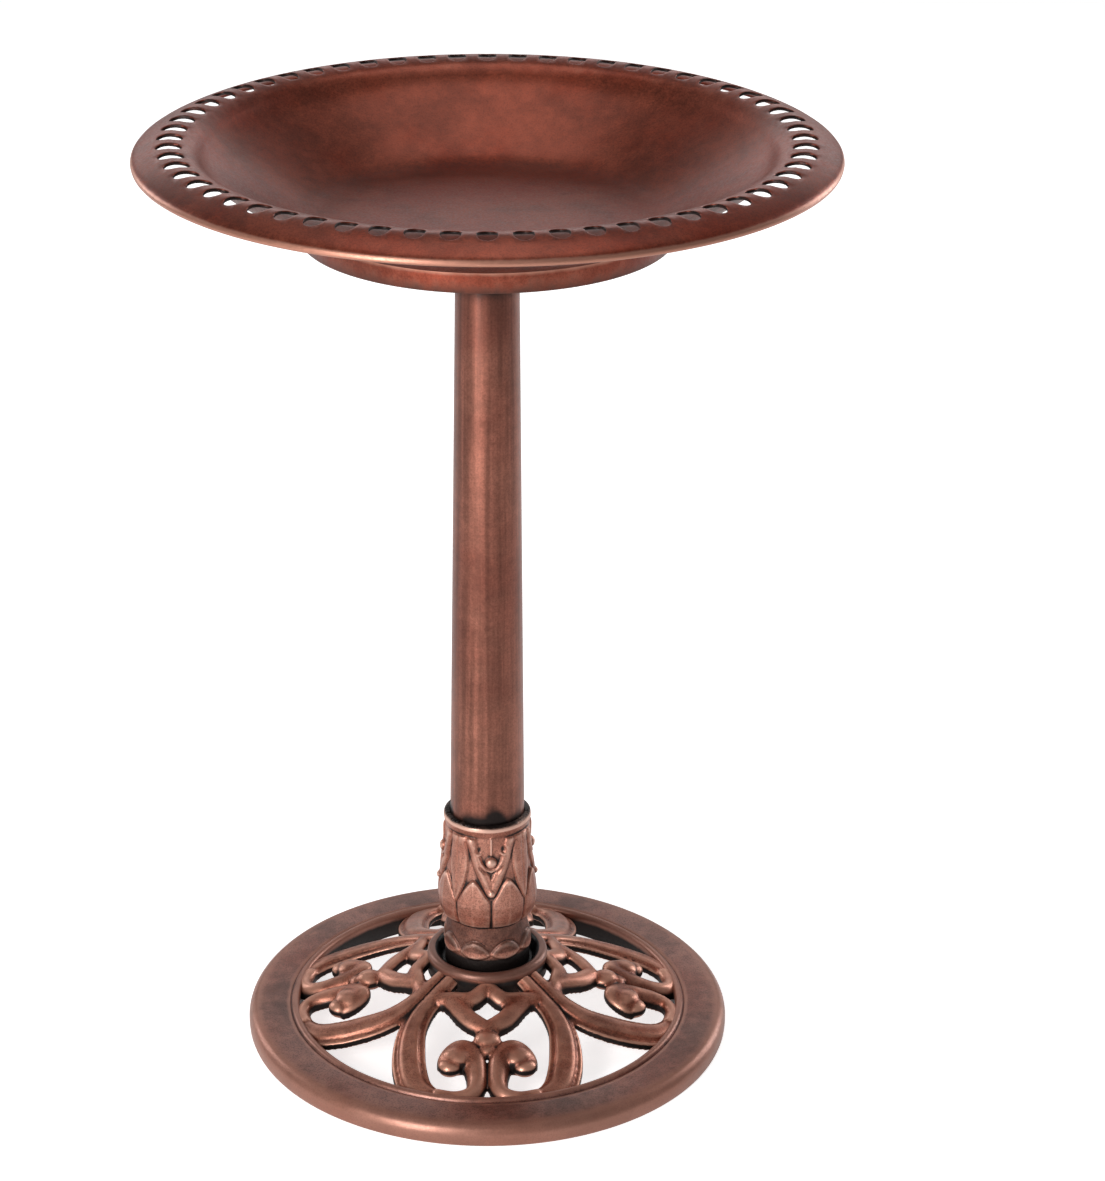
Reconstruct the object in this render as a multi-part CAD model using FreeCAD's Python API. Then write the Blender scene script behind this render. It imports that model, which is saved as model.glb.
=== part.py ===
"""Pedestal bird bath of cast resin with an antique copper finish, in millimetres.

+Z is up and the origin is the centre of the face that the base stands on.
The bowl screws onto a plug in the top of a tapered column, the column stands in a
leaf-shaped collar, and a bolt from below holds column, collar and openwork base together.
"""
import FreeCAD, Part

import math
import os

Vector = FreeCAD.Vector
ORIGIN = Vector(0, 0, 0)
UP = Vector(0, 0, 1)

# Overall sizes
total_height = 711.0        # floor to the crest of the bowl's rim
bowl_radius = 249.0         # outer edge of the rim
base_radius = 185.9         # widest part of the base ring

# Bowl
bowl_wall = 2.5
rim_width = 27.0            # crest of the rim to its outer edge
rim_drop = 9.5              # how far the outer edge lies below the crest
lip_depth = 5.0             # turned-down lip below the outer edge
lip_inset = 1.5             # how far the lip leans in at its lower edge
crest_to_basin = 22.0       # crest of the rim in to the top of the basin's slope
basin_drop = 14.5           # crest down to the top of the basin's slope
water_depth = 57.5          # crest down to the bowl's floor
floor_radius = 134.0        # where the sloping side meets the floor, outside
floor_bend = 8.0            # soft bend between the side and the floor
floor_bend_lift = 0.25      # share of the bend's rise that is reached in its middle
basin_bend = 6.0            # soft bend between the side and the rim
foot_ring_height = 11.0     # standing ring under the floor
foot_ring_wall = 4.0
foot_ring_draft = 1.5       # how far the standing ring leans in at its foot

# Section of the rim. The first two numbers are shares of the way from the basin's edge to the
# crest, or from the crest to the outer edge, across and up or down. The last two lead to the
# underside, across and down, in wall thicknesses.
rim_foot = (0.02, 0.14)
rim_side = (0.18, 0.48, 0.77, 1.23)
rim_shoulder = (0.45, 0.82, 0.53, 1.10)
rim_middle = (0.60, 0.30, -0.25, 1.15)

# Openings in the rim
slot_count = 60
slot_length = 19.0
slot_width = 13.0           # the ends are half round
slot_start = 9.5            # inner ends of the slots, measured in from the crest

# Screw joint between bowl and column
spigot_radius = 16.0
spigot_length = 18.0
thread_clearance = 0.08     # radial play of the screw joint
socket_wall = 5.0
socket_end_gap = 2.0        # space above the spigot when the bowl is home
socket_cap = 2.0
boss_wall = 9.0
boss_web = 1.0              # boss left between the socket and the bowl's floor
washer_thickness = 2.5
washer_clearance = 0.4      # radial play of the rubber washer round the spigot
washer_inset = 1.0          # how much smaller the washer is than the socket
plug_flange = 4.0
plug_depth = 24.0
plug_overhang = 1.2         # flange radius beyond the top of the tube

# Column
column_radius_low = 29.8    # outside radius where the tube stands in the hub
column_radius_high = 22.9   # outside radius at the top of the tube
column_wall = 3.0

# Leaf collar. Heights are measured from its lower face and the others out from the tube.
collar_height = 129.0
collar_clearance = 0.3      # radial play round the tube
collar_mouth = 2.8          # top edge
collar_lip = 5.3            # rolled lip
collar_waist = 5.2
collar_belly = 8.7          # widest part of the petals
collar_neck_high = 2.0      # neck under the petals
collar_neck_low = 4.2       # neck where it stands in the hub
neck_band = 12.0            # straight lower part of the neck
petal_count = 8
petal_low = 42.0            # where the petals end above the neck
petal_high = 79.0           # tips of the petals
petal_to_waist = 14.0
lip_height = 8.0
lip_roll = 0.7              # share of the lip's projection kept in the middle of its roll
lip_roll_height = 0.75      # share of the lip's height reached there
petal_groove = 3.0
petal_groove_depth = 1.8

# Base
ring_height = 17.5
ring_width = 39.5           # outside of the base to the opening
ring_shoulder = 10.0        # rounded outer shoulder
ring_wall = 4.5
ring_foot_inset = 1.1       # how far the standing edge lies inside the widest part
ring_widest_height = 4.4
bead_radius = 3.3           # raised bead round the opening
bead_rise = 2.0             # crest of the bead above the ring
motif_count = 4
openwork_thickness = 9.0
openwork_rise = 19.5        # height gained from the opening to the middle of the scrolls
openwork_sink = 1.0         # how far its outer edge lies below the ring
openwork_overlap = 1.0      # how far it runs into the hub and the ring
hub_seat_height = 54.0      # face that the collar and the column stand on
hub_rim_rise = 9.0          # crest of the beaded rim above the seat
hub_bead = 4.4
hub_bead_foot = 1.0         # slope between the channel and the bead
hub_plate = 6.0
hub_skirt = 19.0            # height of the hub's outer wall
seat_margin = 0.8           # seat beyond the foot of the collar
hub_channel_depth = 2.5
hub_channel_width = 2.0

# Fasteners
bolt_radius = 5.0
bolt_clearance = 0.5
bolt_grip = 26.0            # length of the shank inside the lower plug
bolt_head_width = 17.0      # across the flats
bolt_head_height = 6.5
hub_washer_radius = 20.0
hub_washer_thickness = 3.0
lower_plug_depth = 34.0
lower_plug_web = 8.0
lower_plug_wall = 4.0
lower_plug_core = 7.0       # wall of the core round the bolt hole

# Heights that follow from the sizes above
floor_top = total_height - water_depth
floor_under = floor_top - bowl_wall
socket_top = floor_under - boss_web
spigot_top = socket_top - socket_cap - socket_end_gap
flange_top = spigot_top - spigot_length
boss_low = flange_top + washer_thickness
tube_top = flange_top - plug_flange
tube_low = hub_seat_height
hub_height = hub_seat_height + hub_rim_rise

# Radii that follow
crest_radius = bowl_radius - rim_width
basin_radius = crest_radius - crest_to_basin
opening_radius = base_radius - ring_width
socket_bore = spigot_radius + thread_clearance
socket_outer = socket_bore + socket_wall
boss_radius = socket_outer + boss_wall
seat_radius = column_radius_low + collar_neck_low + seat_margin
channel_outer = seat_radius + hub_channel_width
hub_radius = channel_outer + hub_bead_foot + hub_bead


def lathe_point(radius, height):
    return Vector(radius, 0, height)


def outline_face(*stretches):
    """Face from stretches of two points (a straight line) or three (an arc)."""
    edges = []
    for stretch in stretches:
        points = [lathe_point(radius, height) for radius, height in stretch]
        if len(points) == 2:
            edges.append(Part.LineSegment(points[0], points[1]).toShape())
        else:
            edges.append(Part.Arc(*points).toShape())
    return Part.Face(Part.Wire(edges))


def turned(*stretches):
    return outline_face(*stretches).revolve(ORIGIN, UP, 360)


def cylinder(radius, low, high):
    return Part.makeCylinder(radius, high - low, Vector(0, 0, low))


def tube_radius(height):
    """Outside radius of the tapered column at a height."""
    share = (height - tube_low) / (tube_top - tube_low)
    return column_radius_low + share * (column_radius_high - column_radius_low)


def tapered_disc(low, high, inset):
    """Solid that follows the column's taper, smaller than it by inset."""
    return Part.makeCone(tube_radius(low) - inset, tube_radius(high) - inset, high - low,
                         Vector(0, 0, low))


def on_circle(shape, count):
    copies = []
    for index in range(count):
        copy = shape.copy()
        copy.rotate(ORIGIN, UP, index * 360.0 / count)
        copies.append(copy)
    return copies


def beneath(point, across, down):
    """Point on the bowl's underside, given in wall thicknesses from one on its top."""
    radius, height = point
    return (radius + across * bowl_wall, height - down * bowl_wall)


def make_bowl():
    """Shell of even wall with a rolled, slotted rim, a standing ring and a socket boss."""
    crest = total_height
    basin_top = crest - basin_drop
    edge_height = crest - rim_drop
    lip_low = edge_height - lip_depth
    lip_radius = bowl_radius - lip_inset
    slope = math.atan2(basin_top - floor_top, basin_radius - floor_radius)
    slope_down = 1 / math.cos(slope)
    bend_in = floor_radius - floor_bend
    bend_out = floor_radius + floor_bend
    bend_rise = floor_bend * math.tan(slope)

    def rim_point(across, up):
        return (basin_radius + across * crest_to_basin, basin_top + up * basin_drop)

    bend_top = (basin_radius - basin_bend, basin_top - basin_bend * math.tan(slope))
    side = rim_point(*rim_side[:2])
    shoulder = rim_point(*rim_shoulder[:2])
    middle = (crest_radius + rim_middle[0] * rim_width, crest - rim_middle[1] * rim_drop)
    inside = [
        ((0, floor_top), (bend_in, floor_top)),
        ((bend_in, floor_top), (floor_radius, floor_top + floor_bend_lift * bend_rise),
         (bend_out, floor_top + bend_rise)),
        ((bend_out, floor_top + bend_rise), bend_top),
        (bend_top, rim_point(*rim_foot), side),
        (side, shoulder, (crest_radius, crest)),
        ((crest_radius, crest), middle, (bowl_radius, edge_height)),
        ((bowl_radius, edge_height), (lip_radius, lip_low)),
        ((lip_radius, lip_low), (lip_radius - bowl_wall, lip_low)),
    ]
    edge_under = beneath((bowl_radius, edge_height), -1, 1)
    crest_under = beneath((crest_radius, crest), 0, 1)
    side_under = beneath(side, *rim_side[2:])
    basin_under = beneath((basin_radius, basin_top), 0, slope_down)
    ring_joint = beneath((floor_radius, floor_top), 0, slope_down)
    ring_low = floor_under - foot_ring_height
    ring_inner = floor_radius - foot_ring_wall
    outside = [
        ((lip_radius - bowl_wall, lip_low), edge_under),
        (edge_under, beneath(middle, *rim_middle[2:]), crest_under),
        (crest_under, beneath(shoulder, *rim_shoulder[2:]), side_under),
        (side_under, basin_under),
        (basin_under, ring_joint),
        (ring_joint, (floor_radius - foot_ring_draft, ring_low)),
        ((floor_radius - foot_ring_draft, ring_low), (ring_inner, ring_low)),
        ((ring_inner, ring_low), (ring_inner, floor_under)),
        ((ring_inner, floor_under), (0, floor_under)),
        ((0, floor_under), (0, floor_top)),
    ]
    shell = turned(*inside, *outside)
    boss = cylinder(boss_radius, boss_low, floor_under + bowl_wall / 2)
    boss = boss.cut(cylinder(socket_outer, boss_low, socket_top))
    slots = Part.makeCompound(on_circle(rim_slot(), slot_count))
    return shell.fuse(boss).cut(slots)


def rim_slot():
    """Long round-ended cutter, standing upright through the rim and pointing at the axis."""
    half = slot_width / 2
    inner = crest_radius - slot_start
    outer = inner + slot_length
    low = total_height - rim_drop - lip_depth
    near_left = Vector(inner + half, half, low)
    near_right = Vector(inner + half, -half, low)
    far_left = Vector(outer - half, half, low)
    far_right = Vector(outer - half, -half, low)
    face = Part.Face(Part.Wire([
        Part.Arc(near_left, Vector(inner, 0, low), near_right).toShape(),
        Part.LineSegment(near_right, far_right).toShape(),
        Part.Arc(far_right, Vector(outer, 0, low), far_left).toShape(),
        Part.LineSegment(far_left, near_left).toShape(),
    ]))
    return face.extrude(UP * (rim_drop + lip_depth + bowl_wall))


def make_bowl_socket():
    """Threaded cup set into the boss under the bowl's floor."""
    cup = cylinder(socket_outer, boss_low, socket_top)
    return cup.cut(cylinder(socket_bore, boss_low, socket_top - socket_cap))


def make_seat_washer():
    ring = cylinder(socket_outer - washer_inset, flange_top, boss_low)
    return ring.cut(cylinder(spigot_radius + washer_clearance, flange_top, boss_low))


def make_upper_plug():
    """Plug pressed into the top of the tube, with a flange and the screwed spigot."""
    body = tapered_disc(tube_top - plug_depth, tube_top, column_wall)
    flange = cylinder(column_radius_high + plug_overhang, tube_top, flange_top)
    spigot = cylinder(spigot_radius, flange_top, spigot_top)
    hollow = cylinder(spigot_radius - column_wall, tube_top - plug_depth, spigot_top - column_wall)
    return body.fuse([flange, spigot]).cut(hollow).removeSplitter()


def make_column_tube():
    return tapered_disc(tube_low, tube_top, 0).cut(tapered_disc(tube_low, tube_top, column_wall))


def make_lower_plug():
    """Plug pressed into the foot of the tube; the bolt screws into its core."""
    high = tube_low + lower_plug_depth
    plug = tapered_disc(tube_low, high, column_wall)
    pocket = cylinder(tube_radius(high) - column_wall - lower_plug_wall, tube_low + lower_plug_web, high)
    pocket = pocket.cut(cylinder(bolt_radius + lower_plug_core, tube_low + lower_plug_web, high))
    return plug.cut(pocket).cut(cylinder(bolt_radius, tube_low, high))


def make_leaf_collar():
    """Sleeve round the foot of the column: neck, petals, waist and rolled lip."""
    low = tube_low
    top = low + collar_height
    lip_low = top - lip_height
    belly_height = low + (petal_low + petal_high) / 2
    waist_height = low + petal_high + petal_to_waist

    def outside_tube(distance, height):
        return (tube_radius(height) + distance, height)

    bore_low = outside_tube(collar_clearance, low)
    bore_top = outside_tube(collar_clearance, top)
    foot = outside_tube(collar_neck_low, low)
    band_top = (foot[0], low + neck_band)
    neck = outside_tube(collar_neck_high, low + petal_low)
    belly = outside_tube(collar_belly, belly_height)
    waist = outside_tube(collar_waist, waist_height)
    lip = outside_tube(collar_lip, lip_low)
    mouth = outside_tube(collar_mouth, top)
    roll = (mouth[0] + lip_roll * (lip[0] - mouth[0]), lip_low + lip_roll_height * lip_height)
    sleeve = turned(
        (bore_low, foot),
        (foot, band_top),
        (band_top, neck),
        (neck, belly, waist),
        (waist, lip),
        (lip, roll, mouth),
        (mouth, bore_top),
        (bore_top, bore_low),
    )
    groove = Part.makeBox(petal_groove, petal_groove, petal_high - petal_low, Vector(0, 0, low + petal_low))
    groove.rotate(ORIGIN, UP, -45)
    groove.translate(Vector(belly[0] - petal_groove_depth, 0, 0))
    return sleeve.cut(Part.makeCompound(on_circle(groove, petal_count)))


def make_base_ring():
    """Hollow ring that the whole bird bath stands on, with a bead round its opening."""
    foot = base_radius - ring_foot_inset
    shoulder_start = base_radius - ring_shoulder
    shoulder_rise = ring_height - ring_widest_height
    bead_outer = opening_radius + 2 * bead_radius
    diagonal = math.sqrt(0.5)
    return turned(
        ((foot, 0), (base_radius, ring_widest_height)),
        ((base_radius, ring_widest_height),
         (base_radius - (1 - diagonal) * ring_shoulder, ring_widest_height + diagonal * shoulder_rise),
         (shoulder_start, ring_height)),
        ((shoulder_start, ring_height), (bead_outer, ring_height)),
        ((bead_outer, ring_height), (opening_radius + bead_radius, ring_height + bead_rise),
         (opening_radius, ring_height - bead_radius)),
        ((opening_radius, ring_height - bead_radius), (opening_radius, 0)),
        ((opening_radius, 0), (opening_radius + ring_wall, 0)),
        ((opening_radius + ring_wall, 0), (opening_radius + ring_wall, ring_height - ring_wall)),
        ((opening_radius + ring_wall, ring_height - ring_wall), (shoulder_start, ring_height - ring_wall)),
        ((shoulder_start, ring_height - ring_wall), (foot - ring_wall, 0)),
        ((foot - ring_wall, 0), (foot, 0)),
    )


def make_hub():
    """Dish with a beaded rim, where collar and column stand, pierced for the bolt."""
    channel_floor = hub_seat_height - hub_channel_depth
    under = hub_seat_height - hub_plate
    skirt_radius = hub_radius + hub_bead
    skirt_low = hub_height - hub_skirt
    return turned(
        ((bolt_radius + bolt_clearance, under), (bolt_radius + bolt_clearance, hub_seat_height)),
        ((bolt_radius + bolt_clearance, hub_seat_height), (seat_radius, hub_seat_height)),
        ((seat_radius, hub_seat_height), (seat_radius, channel_floor)),
        ((seat_radius, channel_floor), (channel_outer, channel_floor)),
        ((channel_outer, channel_floor), (hub_radius - hub_bead, hub_height - hub_bead)),
        ((hub_radius - hub_bead, hub_height - hub_bead), (hub_radius, hub_height),
         (skirt_radius, hub_height - hub_bead)),
        ((skirt_radius, hub_height - hub_bead), (skirt_radius, skirt_low)),
        ((skirt_radius, skirt_low), (skirt_radius - hub_plate, skirt_low)),
        ((skirt_radius - hub_plate, skirt_low), (skirt_radius - hub_plate, under)),
        ((skirt_radius - hub_plate, under), (bolt_radius + bolt_clearance, under)),
    )


# Scrolls of one motif. Each stroke is a list of (across, outward, width), where outward runs
# from the hub to the ring. They are drawn for an opening of radius 1 and a hub of hub_share.
hub_share = 0.2883
SCROLL_ARM = [(0.16, 0.205, 0.09), (0.215, 0.262, 0.10), (0.29, 0.345, 0.12), (0.35, 0.42, 0.14),
              (0.392, 0.52, 0.155), (0.405, 0.64, 0.172), (0.398, 0.77, 0.175), (0.362, 0.89, 0.165),
              (0.27, 0.965, 0.11),
              (0.165, 0.985, 0.085), (0.08, 0.955, 0.082), (0.047, 0.885, 0.085), (0.055, 0.80, 0.10),
              (0.10, 0.735, 0.12)]
CHEVRON = [(0.215, 0.355, 0.08), (0.165, 0.405, 0.095), (0.095, 0.485, 0.10), (0.0, 0.562, 0.087)]
MOUSTACHE = [(0.27, 0.345, 0.065), (0.185, 0.378, 0.072), (0.085, 0.40, 0.074), (0.0, 0.335, 0.075)]
SCROLL_BULBS = [(0.155, 0.74, 0.085), (0.188, 0.812, 0.056)]
BUD = (0.0, 0.64, 0.062)

scroll_scale = (opening_radius - hub_radius) / (1 - hub_share)


def scroll_place(across, outward, side):
    """Place of a point of the drawing, so that it keeps its share of the way to the ring."""
    drawn = math.hypot(across, outward)
    radius = hub_radius + (drawn - hub_share) * scroll_scale
    return Vector(side * across, -outward, 0) * (radius / drawn)


def stroke_face(stroke, side):
    """Flat band of changing width along a smooth line, on one side of the motif's axis."""
    places = [scroll_place(across, outward, side) for across, outward, _ in stroke]
    line = Part.BSplineCurve()
    line.interpolate(places)
    left = []
    right = []
    for place, (_, _, width) in zip(places, stroke):
        tangent = line.tangent(line.parameter(place))[0]
        half = Vector(-tangent.y, tangent.x, 0) * (width * scroll_scale / 2)
        left.append(place + half)
        right.append(place - half)
    left_curve = Part.BSplineCurve()
    left_curve.interpolate(left)
    right_curve = Part.BSplineCurve()
    right_curve.interpolate(right[::-1])
    return Part.Face(Part.Wire([
        left_curve.toShape(),
        Part.LineSegment(left[-1], right[-1]).toShape(),
        right_curve.toShape(),
        Part.LineSegment(right[0], left[0]).toShape(),
    ]))


def disc(across, outward, radius, side=1):
    return Part.makeCylinder(radius * scroll_scale, hub_height, scroll_place(across, outward, side))


def make_openwork():
    """Like motifs of scrolls that climb from the ring to the hub."""
    prisms = []
    for side in (1, -1):
        for stroke in (SCROLL_ARM, CHEVRON, MOUSTACHE):
            prisms.append(stroke_face(stroke, side).extrude(UP * hub_height))
        for bulb in SCROLL_BULBS:
            prisms.append(disc(*bulb, side))
    motif = disc(*BUD).fuse(prisms)
    reach_in = hub_radius - openwork_overlap
    reach_out = opening_radius + openwork_overlap
    middle = (reach_in + reach_out) / 2
    edge_top = ring_height - openwork_sink
    middle_top = edge_top + openwork_rise
    inner_top = hub_height - hub_bead
    slab = turned(
        ((reach_in, inner_top), (middle, middle_top), (reach_out, edge_top)),
        ((reach_out, edge_top), (reach_out, edge_top - openwork_thickness)),
        ((reach_out, edge_top - openwork_thickness), (middle, middle_top - openwork_thickness),
         (reach_in, inner_top - openwork_thickness)),
        ((reach_in, inner_top - openwork_thickness), (reach_in, inner_top)),
    )
    return on_circle(motif.common(slab), motif_count)


def make_base():
    return make_base_ring().fuse([make_hub()] + make_openwork()).removeSplitter()


def make_hub_washer():
    high = hub_seat_height - hub_plate
    ring = cylinder(hub_washer_radius, high - hub_washer_thickness, high)
    return ring.cut(cylinder(bolt_radius + bolt_clearance, high - hub_washer_thickness, high))


def make_hub_bolt():
    """Hex bolt from below, through washer and hub into the lower plug."""
    head_top = hub_seat_height - hub_plate - hub_washer_thickness
    head_low = head_top - bolt_head_height
    corner = bolt_head_width / math.sqrt(3)
    first_corner = Vector(corner, 0, head_low)
    turns = [FreeCAD.Rotation(UP, 60 * step) for step in range(7)]
    corners = [turn.multVec(first_corner) for turn in turns]
    head = Part.Face(Part.makePolygon(corners)).extrude(UP * bolt_head_height)
    shank = cylinder(bolt_radius, head_top, tube_low + bolt_grip)
    return head.fuse(shank)


PARTS = {
    "bowl": make_bowl,
    "bowl_socket": make_bowl_socket,
    "seat_washer": make_seat_washer,
    "upper_plug": make_upper_plug,
    "column_tube": make_column_tube,
    "lower_plug": make_lower_plug,
    "leaf_collar": make_leaf_collar,
    "base": make_base,
    "hub_washer": make_hub_washer,
    "hub_bolt": make_hub_bolt,
}

os.makedirs("parts", exist_ok=True)
for name, make in PARTS.items():
    shape = make()
    if not shape.isValid() or not shape.Solids:
        raise RuntimeError(f"{name} is not a sound solid")
    shape.exportStep(f"parts/{name}.step")
    box = shape.BoundBox
    print(f"{name}: {len(shape.Solids)} solid, {shape.Volume / 1000:.1f} cm3, "
          f"z {box.ZMin:.1f} to {box.ZMax:.1f}, radius {box.XMax:.1f}")
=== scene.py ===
import math

import bpy
import numpy as np
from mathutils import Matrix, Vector


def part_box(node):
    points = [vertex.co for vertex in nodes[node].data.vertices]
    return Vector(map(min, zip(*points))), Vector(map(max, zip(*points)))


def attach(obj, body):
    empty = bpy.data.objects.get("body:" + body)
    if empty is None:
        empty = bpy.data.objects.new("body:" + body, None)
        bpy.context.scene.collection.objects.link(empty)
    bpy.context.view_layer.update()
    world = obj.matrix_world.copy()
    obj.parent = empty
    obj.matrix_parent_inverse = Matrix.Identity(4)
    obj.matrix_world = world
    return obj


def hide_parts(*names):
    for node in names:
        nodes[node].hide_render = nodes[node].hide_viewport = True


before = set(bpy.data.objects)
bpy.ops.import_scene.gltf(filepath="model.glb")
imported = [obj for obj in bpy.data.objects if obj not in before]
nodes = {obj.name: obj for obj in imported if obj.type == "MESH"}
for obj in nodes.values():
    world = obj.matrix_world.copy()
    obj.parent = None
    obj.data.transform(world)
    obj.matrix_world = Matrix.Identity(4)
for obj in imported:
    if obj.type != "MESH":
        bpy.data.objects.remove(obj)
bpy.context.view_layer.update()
MM = 0.001


# ---------------------------------------------------------------------------------------
# Base ring. The bird bath stands on a hollow cast-resin ring with a rounded outer shoulder
# and a bead round its opening. It is cast in one mould with the scrolls and the hub, sprayed
# copper, washed with black paint and wiped, so black stays in the hollows.
# ---------------------------------------------------------------------------------------
base_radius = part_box("base")[1].x / MM
ring_width = 39.5
opening_radius = base_radius - ring_width
ring_height = 17.5


def arc(centre, radius, start, end, steps):
    """Points of (radius, height) round a centre, angles in degrees from outwards to up."""
    points = []
    for step in range(steps + 1):
        angle = math.radians(start + (end - start) * step / steps)
        points.append((centre[0] + radius * math.cos(angle), centre[1] + radius * math.sin(angle)))
    return points


def start_point(name):
    """A new mesh of one point on the axis at the floor, left in edit mode."""
    bpy.ops.object.select_all(action="DESELECT")
    bpy.ops.mesh.primitive_plane_add(size=MM)
    piece = bpy.context.object
    piece.name = name
    piece.data.name = name
    bpy.ops.object.mode_set(mode="EDIT")
    bpy.ops.mesh.select_mode(type="VERT")
    bpy.ops.mesh.merge(type="CENTER")
    return piece


def turned(name, outline, steps):
    """A round piece: its outline in mm is drawn edge by edge and spun about the upright axis."""
    piece = start_point(name)
    radius, height = outline[0]
    bpy.ops.transform.translate(value=(radius * MM, 0, height * MM))
    for next_radius, next_height in outline[1:]:
        move = ((next_radius - radius) * MM, 0, (next_height - height) * MM)
        bpy.ops.mesh.extrude_region_move(TRANSFORM_OT_translate={"value": move})
        radius, height = next_radius, next_height
    bpy.ops.mesh.select_all(action="SELECT")
    bpy.ops.mesh.spin(steps=steps, angle=math.tau, center=(0, 0, 0), axis=(0, 0, 1))
    bpy.ops.mesh.select_all(action="SELECT")
    bpy.ops.mesh.remove_doubles(threshold=0.02 * MM)
    bpy.ops.mesh.normals_make_consistent(inside=False)
    bpy.ops.object.mode_set(mode="OBJECT")
    return piece


def choose(piece):
    """Leaves this piece the only one selected, and active."""
    bpy.ops.object.select_all(action="DESELECT")
    piece.select_set(True)
    bpy.context.view_layer.objects.active = piece


def apply_modifiers(piece):
    choose(piece)
    for modifier in list(piece.modifiers):
        bpy.ops.object.modifier_apply(modifier=modifier.name)


def ease_edges(piece, width, segments):
    """Rounds every edge sharper than 50 degrees, as a mould's edges are."""
    bevel = piece.modifiers.new("eased", "BEVEL")
    bevel.width = width * MM
    bevel.segments = segments
    bevel.limit_method = "ANGLE"
    bevel.angle_limit = math.radians(50)
    apply_modifiers(piece)


def smooth_shade(piece, angle=50):
    choose(piece)
    bpy.ops.object.shade_smooth_by_angle(angle=math.radians(angle))


def places_of(piece):
    places = np.empty(len(piece.data.vertices) * 3, np.float32)
    piece.data.vertices.foreach_get("co", places)
    return places.reshape(-1, 3).astype(float)


def normals_of(piece):
    normals = np.empty(len(piece.data.vertices) * 3, np.float32)
    piece.data.vertices.foreach_get("normal", normals)
    return normals.reshape(-1, 3).astype(float)


def store(piece, name, values):
    layer = piece.data.attributes.get(name) or piece.data.attributes.new(name, "FLOAT", "POINT")
    layer.data.foreach_set("value", np.asarray(values, np.float32))


def note_relief(piece, passes, depth):
    """Stores how far each point stands out of (+1) or lies sunk in (-1) the surface round it,
    for a depth in mm. More passes look further round."""
    start = places_of(piece)
    count = len(start)
    edges = np.empty(len(piece.data.edges) * 2, np.int32)
    piece.data.edges.foreach_get("vertices", edges)
    one, other = edges[0::2], edges[1::2]
    neighbours = np.maximum(np.bincount(edges, minlength=count), 1)[:, None]
    softened = start.copy()
    for _ in range(passes):
        total = np.empty_like(softened)
        for axis in range(3):
            total[:, axis] = (np.bincount(one, softened[other, axis], count)
                              + np.bincount(other, softened[one, axis], count))
        softened = 0.4 * softened + 0.6 * total / neighbours
    height = ((start - softened) * normals_of(piece)).sum(axis=1)
    store(piece, "relief", np.clip(height / (depth * MM), -1, 1))


def node(tree, kind, inputs=(), **settings):
    """A shader node; an input given another node's output is linked, any other is set."""
    made = tree.nodes.new(kind)
    for name, value in settings.items():
        setattr(made, name, value)
    for name, value in dict(inputs).items():
        if isinstance(value, bpy.types.NodeSocket):
            tree.links.new(value, made.inputs[name])
        else:
            made.inputs[name].default_value = value
    return made


def math_node(tree, operation, first, second):
    return node(tree, "ShaderNodeMath", {0: first, 1: second}, operation=operation).outputs[0]


def noise(tree, where, scale, detail, **inputs):
    """A cloudy noise from 0 to 1 at this place."""
    inputs = {"Vector": where, "Scale": scale, "Detail": detail, **inputs}
    return node(tree, "ShaderNodeTexNoise", inputs).outputs["Fac"]


def ramp_between(tree, value, low, high, to_low=0.0, to_high=1.0):
    """A soft step of a value from low to high."""
    settings = {"Value": value, "From Min": low, "From Max": high, "To Min": to_low, "To Max": to_high}
    return node(tree, "ShaderNodeMapRange", settings, interpolation_type="SMOOTHSTEP").outputs["Result"]


def mix_colour(tree, share, first, second):
    made = tree.nodes.new("ShaderNodeMix")
    made.data_type = "RGBA"
    for socket, value in ((made.inputs[0], share), (made.inputs[6], first), (made.inputs[7], second)):
        if isinstance(value, bpy.types.NodeSocket):
            tree.links.new(value, socket)
        else:
            socket.default_value = value
    return made.outputs[2]


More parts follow.
